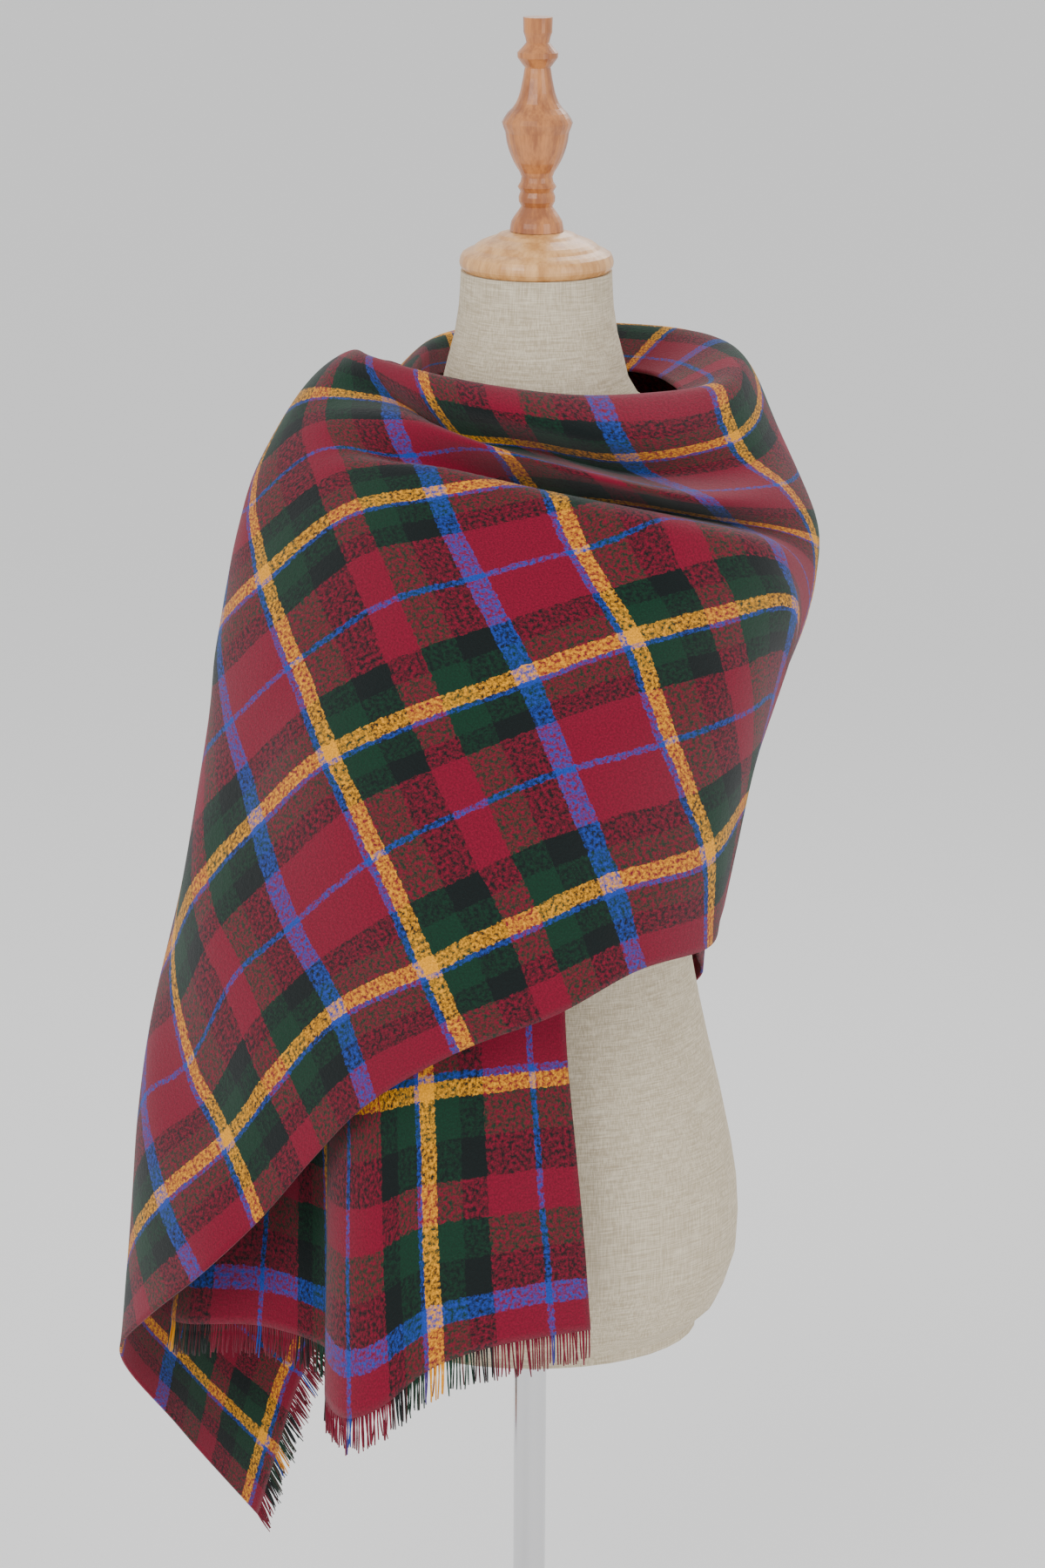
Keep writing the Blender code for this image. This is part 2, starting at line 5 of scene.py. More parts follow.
import bmesh
import bpy
import numpy as np
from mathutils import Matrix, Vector


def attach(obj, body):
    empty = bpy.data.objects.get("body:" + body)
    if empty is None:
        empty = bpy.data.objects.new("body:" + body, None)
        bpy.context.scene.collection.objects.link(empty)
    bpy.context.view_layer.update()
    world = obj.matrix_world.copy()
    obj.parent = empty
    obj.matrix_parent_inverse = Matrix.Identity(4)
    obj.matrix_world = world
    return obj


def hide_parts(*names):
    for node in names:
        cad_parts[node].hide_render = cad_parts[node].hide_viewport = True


CM = 0.01
MM = 0.001

# Cloth, in metres unless a name says otherwise.
CLOTH_THICKNESS = 0.0020
FLOOR_REACH = 30.0
GRID_STEP_CM = 0.64
SCARF_START_CM = 5.5
SCARF_END_CM = 258.0
SCARF_WIDTH = 75.5
FRINGE_LENGTH = 0.030
FRINGE_SPACING_CM = 0.21

# The check, as (colour, width in cm) from the middle of one gold stripe to the next.
WARP_STRIPES = (
    ("gold", 0.65), ("blue", 0.45), ("green", 2.0), ("black", 2.0), ("red", 4.05), ("blue", 0.5),
    ("red", 4.05), ("black", 2.0), ("green", 2.05), ("gold", 0.65),
)
WEFT_STRIPES = (
    ("gold", 0.62), ("blue", 0.5), ("red", 6.55), ("blue", 1.6), ("black", 2.7), ("green", 2.65),
    ("red", 2.65), ("black", 2.65), ("green", 2.65), ("gold", 0.63),
)
WARP_GOLD_AT_CM = 12.2
WEFT_GOLD_AT_CM = 23.5
YARN_COLOURS = {
    "red": (0.190, 0.000, 0.019),
    "green": (0.001, 0.028, 0.012),
    "black": (0.001, 0.005, 0.005),
    "blue": (0.010, 0.048, 0.33),
    "gold": (0.80, 0.33, 0.002),
}

# Cross sections of the scarf. Each row is one line straight across the cloth: its distance along
# the cloth, then a point for each column. The columns follow the folds from the neck edge to the
# lower edge. A point is its distance across the cloth and its place (x, y, z), all in cm.
SCARF_COLUMNS = ("edge", "lip", "roll", "crease", "crest", "tuck", "ridge", "chest", "middle",
                 "flank", "low", "hem")
SCARF_SECTIONS = {
    5.5: ((0, 4.5, -14.8, 63.0), (4.5, 0.5, -16.2, 63.0), (8.5, -3.4, -16.8, 62.4),
          (13.0, -7.6, -16.8, 60.6), (18.5, -11.2, -17.6, 57.8), (22.5, -14.0, -16.6, 56.4),
          (26.5, -15.6, -13.0, 56.6), (31.0, -15.4, -8.6, 57.8), (40.0, -21.0, -5.6, 58.4),
          (49.0, -28.4, -0.8, 56.4), (61.0, -26.0, 8.4, 56.2), (75.5, -15.6, 15.4, 56.4)),
    13.0: ((0, 3.9, -14.3, 70.7), (4.5, -0.1, -15.3, 70.7), (8.5, -3.9, -16.0, 70.3),
           (13.0, -8.0, -16.1, 69.5), (18.5, -11.6, -16.4, 67.2), (22.5, -14.0, -15.0, 66.2),
           (26.5, -15.4, -11.6, 66.2), (31.0, -15.4, -7.6, 66.6), (40.0, -20.4, -4.6, 67.0),
           (49.0, -27.0, -0.4, 66.0), (61.0, -24.6, 8.6, 65.8), (75.5, -14.0, 15.4, 65.8)),
    23.5: ((0, 2.7, -13.6, 83.0), (4.5, -1.0, -14.5, 83.0), (8.5, -4.4, -15.0, 82.8),
           (13.0, -8.3, -15.2, 82.2), (18.5, -11.8, -14.4, 81.0), (22.5, -13.8, -12.8, 80.4),
           (26.5, -15.2, -10.2, 80.0), (31.0, -15.8, -7.0, 79.8), (40.0, -19.6, -3.0, 79.6),
           (49.0, -24.6, 1.2, 78.6), (61.0, -22.4, 9.8, 78.0), (75.5, -12.2, 15.0, 77.2)),
    47.0: ((0, 0.6, -12.7, 107.0), (4.5, -3.0, -13.1, 107.0), (8.5, -6.2, -13.0, 106.8),
           (13.0, -9.8, -12.1, 106.4), (18.5, -13.6, -9.7, 105.8), (22.5, -16.0, -7.2, 105.2),
           (26.5, -17.8, -4.2, 104.6), (31.0, -19.0, -0.4, 104.0), (40.0, -19.2, 6.2, 102.6),
           (49.0, -18.0, 10.4, 100.0), (61.0, -15.6, 12.6, 92.0), (75.5, -11.0, 14.6, 83.0)),
    60.0: ((0, -4.4, -11.2, 120.0), (4.5, -7.2, -11.2, 119.8), (8.5, -10.0, -10.6, 119.6),
           (13.0, -13.2, -9.2, 119.0), (18.5, -16.8, -6.4, 118.0), (22.5, -18.7, -3.4, 117.0),
           (26.5, -19.6, 0.0, 115.8), (31.0, -19.6, 4.0, 114.0), (40.0, -17.2, 9.6, 109.4),
           (49.0, -15.2, 12.2, 102.0), (61.0, -11.6, 14.0, 92.8), (75.5, -6.4, 15.4, 81.6)),
    70.0: ((0, -7.0, -8.3, 127.4), (4.5, -9.2, -7.9, 127.4), (8.5, -11.6, -7.0, 127.0),
           (13.0, -14.4, -5.2, 126.4), (18.5, -17.4, -2.2, 125.6), (22.5, -18.9, 0.6, 123.2),
           (26.5, -19.3, 3.6, 120.4), (31.0, -18.9, 6.8, 116.6), (40.0, -16.4, 11.2, 109.0),
           (49.0, -12.6, 13.8, 101.0), (61.0, -8.0, 15.4, 90.8), (75.5, -3.8, 15.8, 79.8)),
    82.0: ((0, -8.8, 0.4, 131.2), (7.0, -8.9, 2.4, 132.4), (10.0, -10.2, 3.4, 131.2),
           (13.5, -12.8, 5.0, 128.8), (18.5, -15.8, 7.4, 125.4), (22.5, -17.4, 9.4, 122.2),
           (26.5, -17.2, 11.2, 118.4), (31.0, -16.2, 12.8, 114.2), (40.0, -13.4, 14.8, 106.0),
           (49.0, -10.2, 15.9, 97.8), (61.0, -6.0, 16.6, 87.4), (75.5, -1.0, 17.0, 76.0)),
    93.0: ((0, -6.0, 6.8, 131.2), (12.0, -6.7, 9.0, 133.6), (14.2, -8.0, 10.6, 132.6),
           (17.0, -9.4, 12.0, 130.2), (20.0, -10.3, 13.1, 127.4), (23.6, -10.8, 14.1, 124.0),
           (27.4, -10.8, 14.9, 120.4), (32.0, -10.2, 15.6, 116.0), (40.0, -8.8, 16.2, 108.4),
           (49.0, -6.8, 16.6, 99.8), (61.0, -4.4, 17.0, 88.2), (75.5, -1.2, 17.5, 74.4)),
    105.0: ((0, 0.0, 8.8, 131.2), (12.0, 0.4, 12.4, 133.9), (14.2, 0.2, 13.9, 132.8),
            (17.0, 0.0, 15.0, 130.4), (20.0, 0.0, 15.8, 127.6), (23.6, 0.2, 16.5, 124.1),
            (27.4, 0.5, 17.0, 120.4), (32.0, 1.0, 17.3, 115.9), (40.0, 1.8, 17.3, 108.0),
            (49.0, 2.6, 17.0, 99.1), (61.0, 3.4, 17.1, 87.4), (75.5, 4.0, 17.9, 73.8)),
    116.5: ((0, 6.8, 6.8, 131.4), (11.5, 10.0, 9.8, 134.0), (14.0, 11.2, 11.2, 132.8),
            (17.0, 12.2, 12.2, 130.4), (20.0, 12.9, 13.0, 127.4), (23.6, 13.2, 13.7, 123.8),
            (27.4, 13.2, 14.3, 120.2), (32.0, 12.9, 14.8, 115.8), (40.0, 12.2, 15.0, 108.2),
            (49.0, 11.6, 14.8, 99.6), (61.0, 11.2, 14.6, 88.6), (75.5, 11.0, 15.0, 77.2)),
    128.0: ((0, 9.6, 1.8, 131.6), (8.5, 14.0, 5.0, 133.4), (12.0, 15.8, 5.4, 132.2),
            (16.0, 17.2, 5.6, 129.2), (20.0, 18.2, 5.8, 126.2), (24.0, 18.8, 6.2, 122.6),
            (29.0, 18.8, 7.0, 118.6), (35.0, 18.2, 8.0, 114.0), (42.0, 17.2, 8.8, 108.4),
            (49.5, 16.2, 9.2, 102.2), (62.0, 15.2, 9.2, 93.0), (75.5, 14.8, 9.4, 84.0)),
    140.0: ((0, 9.4, -3.4, 131.2), (4.5, 12.6, -3.0, 132.2), (9.0, 13.4, -4.8, 130.2),
            (16.5, 15.0, -4.2, 127.1), (22.5, 18.0, -3.6, 124.8), (29.5, 20.2, -1.6, 121.2),
            (36.0, 20.7, 0.2, 117.6), (42.0, 20.2, 1.8, 113.4), (49.0, 18.6, 2.8, 108.2),
            (58.0, 16.9, 3.6, 102.0), (67.4, 15.3, 4.2, 96.4), (75.5, 14.4, 4.6, 91.6)),
    148.3: ((0, 3.4, -7.6, 130.6), (4.5, 3.9, -8.4, 132.6), (9.0, 5.2, -11.1, 130.2),
            (16.0, 7.4, -8.6, 127.0), (24.0, 11.5, -12.4, 126.2), (33.0, 14.0, -7.8, 123.2),
            (41.5, 16.6, -10.4, 122.6), (45.0, 17.5, -10.2, 120.6), (49.5, 18.6, -8.6, 117.4),
            (58.0, 17.6, -4.4, 109.8), (67.4, 15.9, -3.0, 101.2), (75.5, 14.5, -2.6, 93.2)),
    155.8: ((0, -2.6, -7.6, 131.4), (4.5, -2.8, -8.2, 133.2), (8.0, -2.1, -10.6, 131.6),
            (14.5, 0.2, -8.2, 128.4), (23.5, 4.8, -13.6, 127.8), (33.0, 7.2, -9.8, 124.8),
            (40.5, 9.6, -14.6, 125.1), (44.5, 11.0, -15.6, 122.0), (49.0, 12.7, -15.6, 118.8),
            (58.0, 14.8, -11.8, 110.6), (67.4, 15.3, -5.8, 101.4), (75.5, 13.9, -6.2, 92.6)),
    163.0: ((0, -7.4, -5.4, 132.0), (4.5, -8.2, -4.9, 133.6), (7.5, -7.6, -7.2, 132.2),
            (13.0, -5.2, -7.7, 129.2), (21.5, -2.4, -12.2, 129.4), (29.0, -0.2, -9.8, 126.0),
            (33.5, 1.3, -15.0, 127.0), (40.0, 2.9, -16.4, 123.4), (49.0, 6.6, -17.0, 117.5),
            (58.0, 9.3, -15.9, 109.9), (67.4, 12.5, -11.6, 99.9), (75.5, 12.9, -10.2, 91.9)),
    171.5: ((0, -10.6, -1.6, 131.9), (4.5, -12.0, 0.2, 133.6), (8.0, -12.0, -1.6, 133.0),
            (11.5, -10.7, -3.2, 131.2), (17.0, -10.4, -7.4, 130.7), (23.0, -8.8, -9.2, 127.6),
            (27.0, -7.9, -12.3, 128.2), (36.0, -5.8, -15.2, 124.0), (49.0, -0.9, -17.5, 114.8),
            (58.0, 1.8, -18.0, 108.3), (67.4, 5.2, -17.3, 99.4), (75.5, 7.3, -16.7, 92.5)),
    179.0: ((0, -11.9, 3.6, 132.4), (5.0, -13.3, 3.6, 133.4), (9.0, -14.8, 1.8, 132.6),
            (12.2, -15.8, 0.0, 130.9), (17.4, -16.2, -2.6, 129.1), (22.0, -15.4, -5.4, 127.7),
            (26.5, -14.5, -8.2, 126.3), (36.0, -12.2, -12.4, 121.6), (49.0, -7.8, -16.5, 111.8),
            (58.0, -4.9, -18.0, 105.4), (67.4, -1.0, -18.5, 96.9), (75.5, 1.6, -18.5, 89.8)),
    186.0: ((0, -11.4, 8.6, 131.6), (5.0, -13.6, 8.0, 132.2), (9.0, -15.9, 6.4, 131.4),
            (12.5, -18.0, 3.8, 129.3), (17.0, -20.2, 0.6, 125.4), (22.0, -20.6, -1.8, 122.8),
            (27.0, -20.1, -3.8, 120.6), (36.0, -18.2, -8.2, 115.8), (49.0, -14.4, -14.0, 108.1),
            (58.0, -11.1, -16.5, 101.6), (67.4, -7.4, -18.2, 93.5), (75.5, -4.7, -18.9, 87.4)),
    194.5: ((0, -10.0, 13.6, 130.2), (5.0, -12.2, 13.6, 130.0), (9.0, -14.6, 12.6, 129.2),
            (12.5, -17.0, 10.6, 127.2), (17.0, -19.6, 7.4, 124.2), (22.0, -21.6, 4.2, 120.4),
            (27.0, -22.6, 1.4, 117.0), (36.0, -23.1, -2.0, 109.6), (49.0, -20.4, -8.0, 101.0),
            (58.0, -17.7, -12.0, 94.4), (67.4, -14.2, -15.0, 88.8), (75.5, -11.9, -16.5, 82.0)),
    202.0: ((0, -5.2, 17.2, 127.6), (5.0, -7.8, 17.6, 127.6), (9.0, -10.6, 17.2, 126.6),
            (12.5, -12.6, 15.6, 125.2), (17.0, -16.4, 13.6, 122.0), (22.0, -19.6, 10.8, 118.4),
            (27.0, -22.0, 7.8, 114.6), (36.0, -24.4, 3.4, 106.6), (49.0, -25.3, -3.0, 94.1),
            (58.0, -22.4, -8.0, 88.6), (67.4, -19.0, -12.0, 82.3), (75.5, -16.1, -14.2, 76.6)),
    209.0: ((0, 0.8, 18.8, 123.8), (5.0, -2.2, 19.2, 122.8), (9.0, -5.2, 19.2, 121.0),
            (12.5, -8.2, 18.6, 119.0), (17.0, -12.0, 17.4, 116.2), (22.0, -16.0, 15.4, 113.0),
            (27.0, -19.6, 12.8, 109.4), (36.0, -24.4, 8.0, 101.6), (49.0, -27.6, 1.6, 88.2),
            (58.0, -26.0, -4.2, 80.6), (67.4, -22.6, -9.2, 76.2), (75.5, -20.2, -12.0, 70.7)),
    217.5: ((0, 4.2, 19.4, 117.0), (5.0, 1.4, 19.8, 115.4), (9.0, -1.4, 19.9, 113.4),
            (12.5, -4.2, 19.8, 111.2), (17.0, -8.0, 19.2, 108.4), (22.0, -12.2, 17.9, 105.2),
            (27.0, -16.6, 15.9, 101.8), (36.0, -23.6, 11.8, 95.0), (49.0, -29.2, 6.0, 82.6),
            (58.0, -30.2, 0.4, 75.4), (67.4, -28.4, -5.2, 69.4), (75.5, -25.2, -10.8, 65.2)),
    225.0: ((0, 6.6, 19.3, 110.6), (5.0, 4.0, 19.9, 108.6), (9.0, 1.4, 20.2, 106.4),
            (12.5, -1.2, 20.2, 104.2), (17.0, -4.8, 20.0, 101.2), (22.0, -9.0, 19.2, 98.0),
            (27.0, -13.4, 17.8, 94.6), (36.0, -21.2, 14.6, 87.6), (49.0, -28.6, 9.4, 76.0),
            (58.0, -31.2, 4.4, 68.8), (67.4, -31.4, -1.0, 63.4), (75.5, -30.0, -5.8, 59.0)),
    232.5: ((0, 8.6, 18.9, 104.0), (5.0, 6.2, 19.7, 101.8), (9.0, 3.8, 20.2, 99.4),
            (12.5, 1.4, 20.4, 97.0), (17.0, -2.0, 20.4, 94.0), (22.0, -6.0, 19.9, 90.6),
            (27.0, -10.2, 18.8, 87.2), (36.0, -18.0, 16.4, 80.0), (49.0, -26.4, 12.0, 69.0),
            (58.0, -30.4, 7.8, 62.0), (67.4, -32.2, 3.4, 56.6), (75.5, -32.8, 0.0, 53.2)),
    244.0: ((0, 10.4, 18.2, 94.0), (5.0, 8.2, 19.2, 91.4), (9.0, 6.0, 19.8, 88.8),
            (12.5, 3.8, 20.2, 86.4), (17.0, 0.8, 20.4, 83.2), (22.0, -2.8, 20.2, 79.4),
            (27.0, -6.6, 19.6, 75.8), (36.0, -13.8, 17.6, 68.6), (49.0, -22.2, 14.8, 58.4),
            (58.0, -26.4, 12.2, 51.8), (67.4, -28.2, 9.0, 47.0), (75.5, -28.9, 5.4, 43.4)),
    258.0: ((0, 11.6, 17.6, 82.0), (5.0, 9.8, 18.8, 79.2), (9.0, 8.0, 19.6, 76.6),
            (12.5, 6.2, 20.2, 74.0), (17.0, 3.6, 20.6, 70.6), (22.0, 0.4, 20.6, 66.8),
            (27.0, -2.8, 20.0, 63.2), (36.0, -8.8, 18.2, 56.6), (49.0, -15.8, 17.0, 48.8),
            (58.0, -19.4, 15.6, 43.0), (67.4, -21.6, 13.6, 36.6), (75.5, -23.2, 11.6, 31.6)),
}

# Deep pleats that fall inwards at the free lower part of the back. Each is centred at one distance
# along the cloth, and deepens from where it starts across the cloth down to the hem; all in cm.
PLEAT_COLUMNS = ("along", "starts_across", "half_width", "depth_at_hem")
PLEATS = (
    (56.0, 44.0, 4.0, 2.6),
    (76.0, 40.0, 4.2, 3.0),
    (97.0, 34.0, 4.6, 3.6),
    (115.0, 38.0, 4.2, 3.0),
    (129.0, 42.0, 3.6, 2.2),
)


# ---------------------------------------------------------------- node helpers


def new_material(name, roughness, metallic=0.0):
    material = bpy.data.materials.new(name)
    material.use_nodes = True
    shader = material.node_tree.nodes["Principled BSDF"]
    shader.inputs["Roughness"].default_value = roughness
    shader.inputs["Metallic"].default_value = metallic
    return material, material.node_tree, shader


def add_node(tree, kind, **settings):
    node = tree.nodes.new(kind)
    for key, value in settings.items():
        if key in node.inputs:
            node.inputs[key].default_value = value
        else:
            setattr(node, key, value)
    return node


def math_node(tree, operation, first, second=None):
    node = tree.nodes.new("ShaderNodeMath")
    node.operation = operation
    for socket, value in zip(node.inputs, (first, second)):
        if value is None:
            continue
        if isinstance(value, (int, float)):
            socket.default_value = value
        else:
            tree.links.new(value, socket)
    return node.outputs[0]


def mix_colour(tree, factor, first, second, blend="MIX"):
    node = tree.nodes.new("ShaderNodeMix")
    node.data_type = "RGBA"
    node.blend_type = blend
    for socket, value in ((node.inputs[0], factor), (node.inputs[6], first),
                          (node.inputs[7], second)):
        if isinstance(value, (int, float)):
            socket.default_value = value
        elif isinstance(value, tuple):
            socket.default_value = (*value, 1.0)
        else:
            tree.links.new(value, socket)
    return node.outputs[2]


def noise(tree, vector, scale, detail=2.0, roughness=0.5):
    node = add_node(tree, "ShaderNodeTexNoise", Scale=scale, Detail=detail, Roughness=roughness)
    tree.links.new(vector, node.inputs["Vector"])
    return node.outputs["Fac"]


def soft_step(tree, value, low, high):
    node = tree.nodes.new("ShaderNodeMapRange")
    node.interpolation_type = "SMOOTHSTEP"
    node.inputs["From Min"].default_value = low
    node.inputs["From Max"].default_value = high
    tree.links.new(value, node.inputs["Value"])
    return node.outputs["Result"]


def stripe_ramp(tree, position, stripes):
    """The yarn colour at a place from 0 to 1 along one repeat of stripes."""
    ramp = tree.nodes.new("ShaderNodeValToRGB")
    ramp.color_ramp.interpolation = "CONSTANT"
    total = sum(width for _, width in stripes)
    reached = 0.0
    elements = ramp.color_ramp.elements
    for index, (yarn, width) in enumerate(stripes):
        place = reached / total
        if index == 0:
            element = elements[0]
            element.position = 0.0
        elif index == 1:
            element = elements[1]
            element.position = place
        else:
            element = elements.new(place)
        element.color = (*YARN_COLOURS[yarn], 1.0)
        reached += width
    tree.links.new(position, ramp.inputs["Fac"])
    return ramp.outputs["Color"]


def place_in_repeat(tree, distance, start_cm, repeat_cm):
    shifted = math_node(tree, "SUBTRACT", distance, start_cm * CM)
    return math_node(tree, "FRACT", math_node(tree, "DIVIDE", shifted, repeat_cm * CM))


def wool_check_group():
    """Colour and pile height of the brushed check, from its place on the flat cloth."""
    group = bpy.data.node_groups.new("brushed_wool_check", "ShaderNodeTree")
    group.interface.new_socket("Weft Share", in_out="INPUT", socket_type="NodeSocketFloat")
    group.interface.new_socket("Color", in_out="OUTPUT", socket_type="NodeSocketColor")
    group.interface.new_socket("Pile", in_out="OUTPUT", socket_type="NodeSocketFloat")
    entry = group.nodes.new("NodeGroupInput")
    leave = group.nodes.new("NodeGroupOutput")
    place = add_node(group, "ShaderNodeUVMap", uv_map="cloth")
    split = group.nodes.new("ShaderNodeSeparateXYZ")
    group.links.new(place.outputs["UV"], split.inputs[0])
    flat = place.outputs["UV"]

    def wander(offset, scale, reach):
        moved = add_node(group, "ShaderNodeVectorMath", operation="ADD")
        moved.inputs[1].default_value = (offset, offset * 0.7, 0.0)
        group.links.new(flat, moved.inputs[0])
        value = noise(group, moved.outputs[0], scale, 3.0, 0.6)
        return math_node(group, "MULTIPLY", math_node(group, "SUBTRACT", value, 0.5), reach)

    across = math_node(group, "ADD", split.outputs["X"], wander(3.1, 260.0, 0.0052))
    along = math_node(group, "ADD", split.outputs["Y"], wander(7.7, 260.0, 0.0052))
    across = math_node(group, "ADD", across, wander(1.3, 22.0, 0.0045))
    along = math_node(group, "ADD", along, wander(5.9, 22.0, 0.0045))
    warp_repeat = sum(width for _, width in WARP_STRIPES)
    weft_repeat = sum(width for _, width in WEFT_STRIPES)
    warp = stripe_ramp(group, place_in_repeat(group, across, WARP_GOLD_AT_CM, warp_repeat),
                       WARP_STRIPES)
    weft = stripe_ramp(group, place_in_repeat(group, along, WEFT_GOLD_AT_CM, weft_repeat),
                       WEFT_STRIPES)
    speckle = soft_step(group, noise(group, flat, 330.0, 3.0, 0.65), 0.34, 0.66)
    share = math_node(group, "ADD", speckle, math_node(group, "SUBTRACT",
                                                       entry.outputs["Weft Share"], 0.5))
    share.node.use_clamp = True
    woven = mix_colour(group, share, warp, weft)
    clumps = soft_step(group, noise(group, flat, 620.0, 4.0, 0.7), 0.3, 0.72)
    shade = group.nodes.new("ShaderNodeMapRange")
    shade.inputs["To Min"].default_value = 0.62
    shade.inputs["To Max"].default_value = 1.28
    group.links.new(clumps, shade.inputs["Value"])
    grey = group.nodes.new("ShaderNodeCombineColor")
    for socket in grey.inputs:
        group.links.new(shade.outputs["Result"], socket)
    shaded = mix_colour(group, 1.0, woven, grey.outputs[0], "MULTIPLY")
    group.links.new(shaded, leave.inputs["Color"])
    coarse = noise(group, flat, 240.0, 4.0, 0.7)
    fine = noise(group, flat, 1100.0, 2.0, 0.6)
    pile = math_node(group, "ADD", math_node(group, "MULTIPLY", coarse, 0.7),
                     math_node(group, "MULTIPLY", fine, 0.3))
    group.links.new(pile, leave.inputs["Pile"])
    return group


def wool_material(name, group, weft_share):
    material, tree, shader = new_material(name, 0.92)
    check = tree.nodes.new("ShaderNodeGroup")
    check.node_tree = group
    check.inputs["Weft Share"].default_value = weft_share
    tree.links.new(check.outputs["Color"], shader.inputs["Base Color"])
    bump = add_node(tree, "ShaderNodeBump", Strength=0.75, Distance=0.0012)
    tree.links.new(check.outputs["Pile"], bump.inputs["Height"])
    tree.links.new(bump.outputs["Normal"], shader.inputs["Normal"])
    shader.inputs["Sheen Weight"].default_value = 0.12
    shader.inputs["Sheen Roughness"].default_value = 0.6
    shader.inputs["Specular IOR Level"].default_value = 0.15
    return material


def linen_material():
    material, tree, shader = new_material("natural_linen", 0.88)
    place = tree.nodes.new("ShaderNodeTexCoord").outputs["Object"]

    def threads(stretch, scale):
        mapping = tree.nodes.new("ShaderNodeMapping")
        mapping.inputs["Scale"].default_value = stretch
        tree.links.new(place, mapping.inputs["Vector"])
        return noise(tree, mapping.outputs[0], scale, 3.0, 0.6)

    level = threads((1.0, 1.0, 22.0), 60.0)
    upright = threads((22.0, 22.0, 1.0), 60.0)
    weave = math_node(tree, "MULTIPLY", math_node(tree, "ADD", level, upright), 0.5)
    tone = soft_step(tree, weave, 0.38, 0.64)
    colour = mix_colour(tree, tone, (0.43, 0.35, 0.235), (0.70, 0.61, 0.455))
    slub = soft_step(tree, threads((1.0, 1.0, 9.0), 14.0), 0.6, 0.75)
    tree.links.new(mix_colour(tree, math_node(tree, "MULTIPLY", slub, 0.25), colour,
                              (0.76, 0.69, 0.54)), shader.inputs["Base Color"])
    bump = add_node(tree, "ShaderNodeBump", Strength=0.6, Distance=0.0006)
    tree.links.new(weave, bump.inputs["Height"])
    tree.links.new(bump.outputs["Normal"], shader.inputs["Normal"])
    return material


def wood_material(name, pale, dark, coat):
    material, tree, shader = new_material(name, 0.38)
    place = tree.nodes.new("ShaderNodeTexCoord").outputs["Object"]
    mapping = tree.nodes.new("ShaderNodeMapping")
    mapping.inputs["Scale"].default_value = (1.0, 1.0, 0.16)
    mapping.inputs["Rotation"].default_value = (math.radians(7), math.radians(4), 0.0)
    tree.links.new(place, mapping.inputs["Vector"])
    rings = noise(tree, mapping.outputs[0], 95.0, 4.0, 0.6)
    fine = noise(tree, mapping.outputs[0], 520.0, 3.0, 0.6)
    grain = math_node(tree, "ADD", math_node(tree, "MULTIPLY", rings, 0.75),
                      math_node(tree, "MULTIPLY", fine, 0.25))
    tree.links.new(mix_colour(tree, soft_step(tree, grain, 0.36, 0.64), dark, pale),
                   shader.inputs["Base Color"])
    shader.inputs["Coat Weight"].default_value = coat
    shader.inputs["Coat Roughness"].default_value = 0.18
    bump = add_node(tree, "ShaderNodeBump", Strength=0.12, Distance=0.0004)
    tree.links.new(grain, bump.inputs["Height"])
    tree.links.new(bump.outputs["Normal"], shader.inputs["Normal"])
    return material


def steel_material():
    material, tree, shader = new_material("polished_steel", 0.1, 1.0)
    place = tree.nodes.new("ShaderNodeTexCoord").outputs["Object"]
    smears = noise(tree, place, 35.0, 3.0, 0.6)
    tone = tree.nodes.new("ShaderNodeMapRange")
    tone.inputs["To Min"].default_value = 0.07
    tone.inputs["To Max"].default_value = 0.2
    tree.links.new(smears, tone.inputs["Value"])
    tree.links.new(tone.outputs["Result"], shader.inputs["Roughness"])
    shader.inputs["Base Color"].default_value = (0.66, 0.66, 0.67, 1.0)
    return material


# ---------------------------------------------------------------- scarf shape


def smooth_rows(stations, rows, wanted):
    """Rows read at other stations, along one smooth curve through all the rows given."""
    stations = np.asarray(stations, float)
    rows = np.asarray(rows, float)
    wide = (-1,) + (1,) * (rows.ndim - 1)
    steps = np.diff(stations)
    rates = np.diff(rows, axis=0) / steps.reshape(wide)
    before = (steps[:-1] / (steps[:-1] + steps[1:])).reshape(wide)
    slopes = np.concatenate((rates[:1], rates[:-1] * (1 - before) + rates[1:] * before,
                             rates[-1:]))
    i = np.clip(np.searchsorted(stations, wanted) - 1, 0, len(steps) - 1)
    t = ((wanted - stations[i]) / steps[i]).reshape(wide)
    span = steps[i].reshape(wide)
    return (rows[i] * (2 * t**3 - 3 * t**2 + 1) + rows[i + 1] * (3 * t**2 - 2 * t**3)
            + slopes[i] * span * (t**3 - 2 * t**2 + t) + slopes[i + 1] * span * (t**3 - t**2))


def pleat_depths(along, across):
    """How far in cm the pleats take the cloth towards the pole at a place on the flat cloth."""
    depth = np.zeros(np.broadcast(along, across).shape)
    for middle, start, half_width, at_hem in PLEATS:
        fall = np.clip((across - start) / (SCARF_WIDTH - start), 0.0, 1.0)
        depth += at_hem * fall * np.exp(-(((along - middle) / half_width) ** 2))
    return depth


